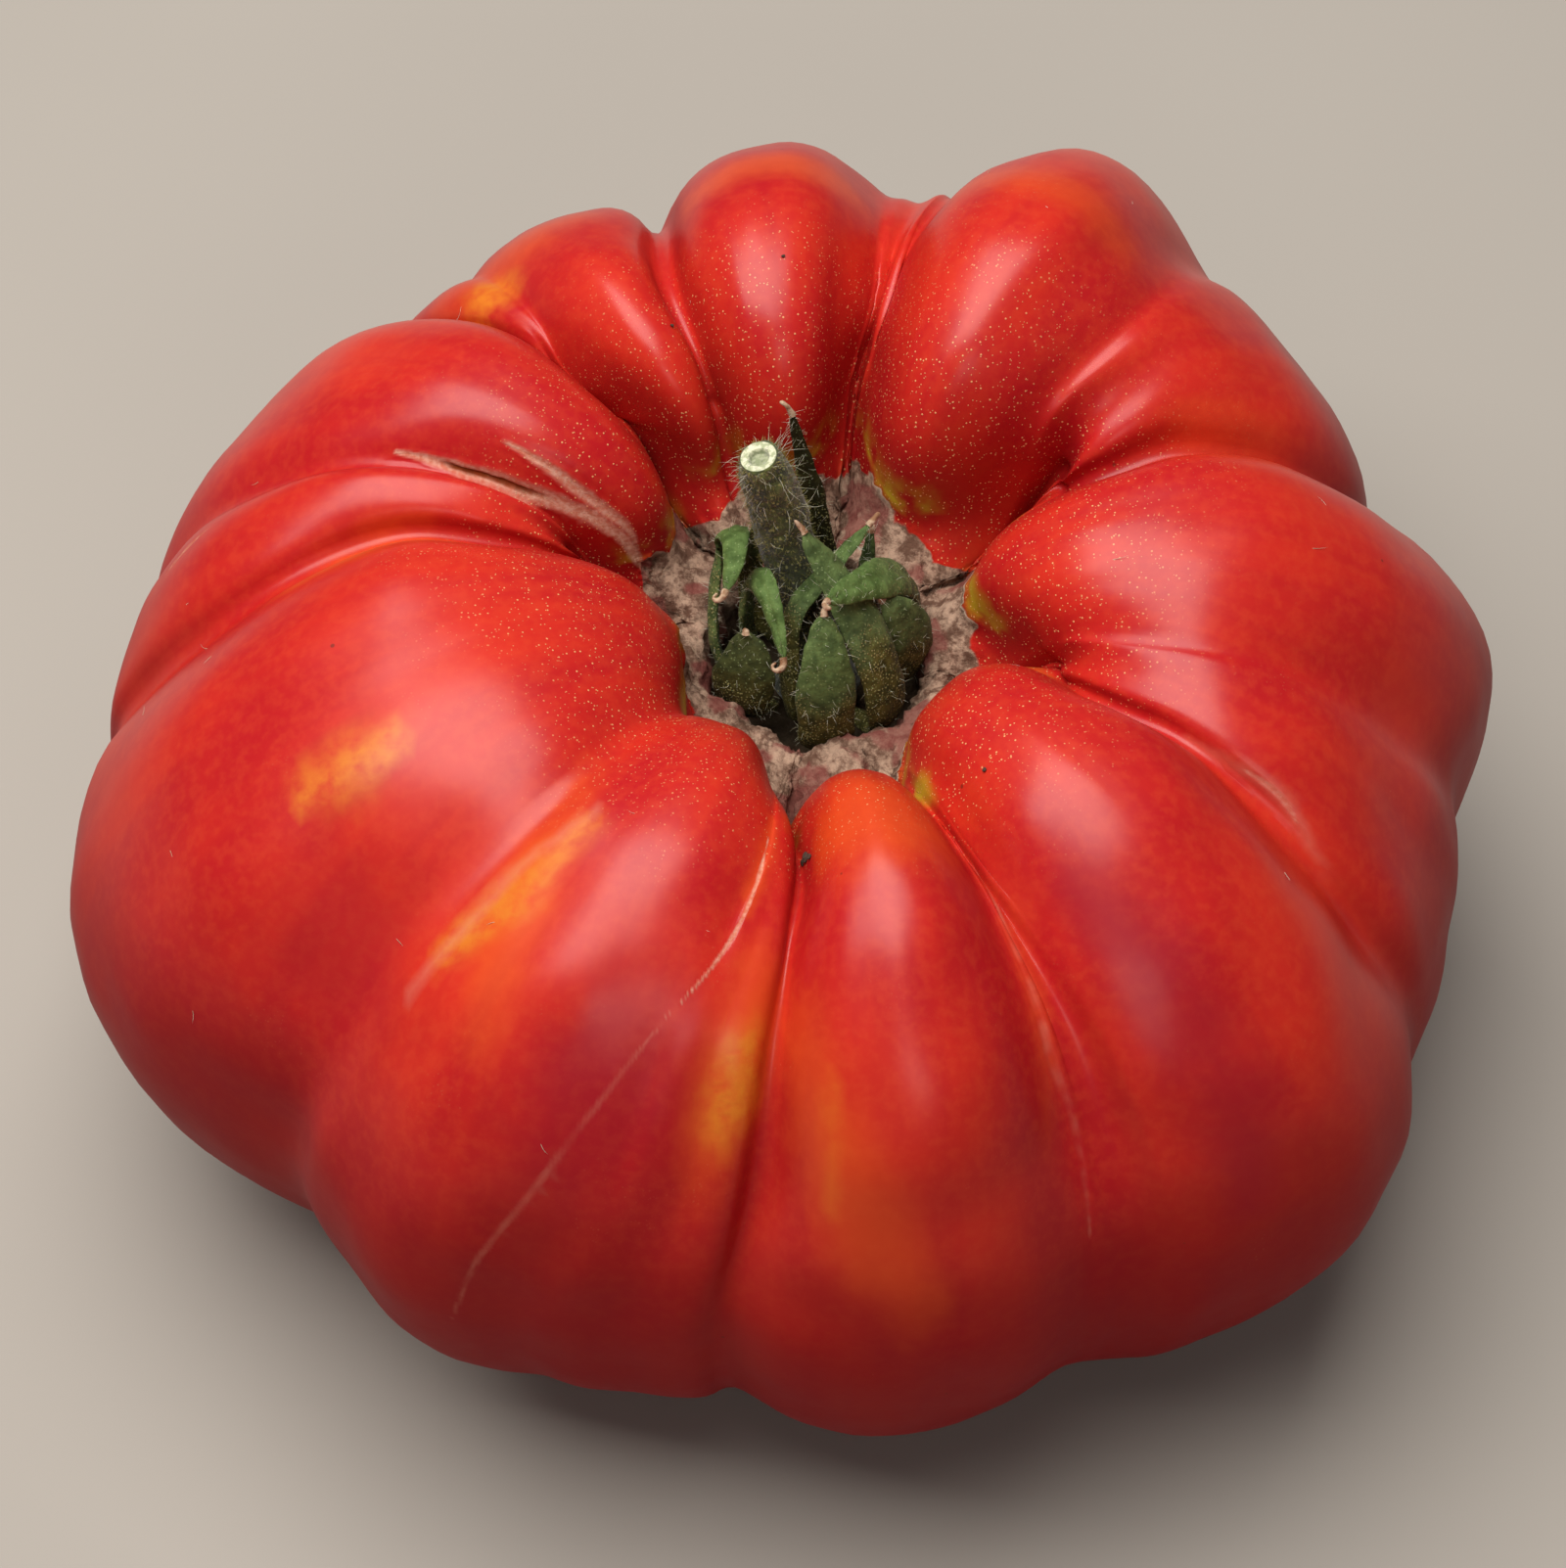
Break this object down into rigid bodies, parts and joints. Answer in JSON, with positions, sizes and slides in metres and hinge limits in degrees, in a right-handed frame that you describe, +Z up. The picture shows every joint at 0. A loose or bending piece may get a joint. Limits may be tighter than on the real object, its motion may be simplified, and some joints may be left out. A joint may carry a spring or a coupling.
{
  "type": "tomato",
  "caption": "Large ribbed beefsteak tomato with a sunken corky stem basin, a cut furry stalk and curled green sepals, standing on its blossom end.",
  "frame": {"origin": "middle of the bounding box, on the surface that the fruit rests on", "axes": "+Z up from the blossom end to the stem basin, which is the shortest way across; +X to the side across the widest ribs; -Y to the front, where the ribs are lowest"},
  "size_m": [0.1282, 0.1236, 0.0761],
  "materials": {
    "fruit_skin": "glossy",
    "stalk_green": "matte",
    "sepal_green": "matte"
  },
  "bodies": {
    "root": {"tomato_fruit": "fruit_skin", "stalk": "stalk_green", "sepal_front": "sepal_green", "sepal_front_right": "sepal_green", "sepal_right": "sepal_green", "sepal_back_right": "sepal_green", "sepal_back_right_thin": "sepal_green", "sepal_back": "sepal_green", "sepal_back_left": "sepal_green", "sepal_left_thin": "sepal_green", "sepal_left_curled": "sepal_green", "sepal_left_broad": "sepal_green", "sepal_middle": "sepal_green"}
  },
  "joints": []
}
